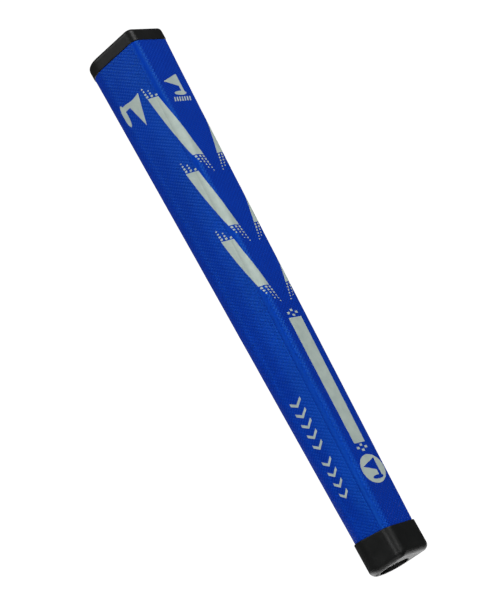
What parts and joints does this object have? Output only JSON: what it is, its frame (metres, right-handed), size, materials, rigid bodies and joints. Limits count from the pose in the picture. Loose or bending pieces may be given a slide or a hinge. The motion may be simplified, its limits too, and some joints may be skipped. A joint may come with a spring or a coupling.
{
  "type": "golf putter grip",
  "caption": "Flat-fronted putter grip: foam core with a round shaft bore, felt-backed polyurethane wrap with a back seam, rubber butt cap and tip collar, printed marks.",
  "frame": {"origin": "middle of the butt cap's flat end face, where the grip stands on its butt", "axes": "+Z along the shaft bore from the butt to the bore's mouth, -Y towards the flat thumb face, +Y towards the round back with its seam, +X the grip's right side seen from the thumb face"},
  "size_m": [0.0264, 0.0367, 0.273],
  "materials": {
    "cover": "satin polyurethane with a fine embossed pattern",
    "felt": "matte needled felt",
    "foam": "matte closed-cell foam",
    "thread": "twisted polyester thread",
    "seam_sealant": "satin polyurethane",
    "end_rubber": "satin moulded rubber",
    "silver_paint": "satin silver paint",
    "print_ink": "satin pale grey ink"
  },
  "bodies": {
    "root": {"underlisting": "foam", "felt_backing": "felt", "pu_cover": "cover", "seam_thread": "thread", "seam_bead": "seam_sealant", "butt_cap": "end_rubber", "tip_collar": "end_rubber", "cap_frame_line": "silver_paint", "cap_badge": "silver_paint", "alignment_line": "print_ink", "tip_disc": "print_ink", "front_flag": "print_ink", "front_ticks": "print_ink", "side_flag_right": "print_ink", "side_chevrons_right": "print_ink", "side_flag_left": "print_ink", "side_chevrons_left": "print_ink", "stripe_right_1": "print_ink", "stripe_right_2": "print_ink", "stripe_right_3": "print_ink", "stripe_left_1": "print_ink", "stripe_left_2": "print_ink", "stripe_left_3": "print_ink"}
  },
  "joints": []
}
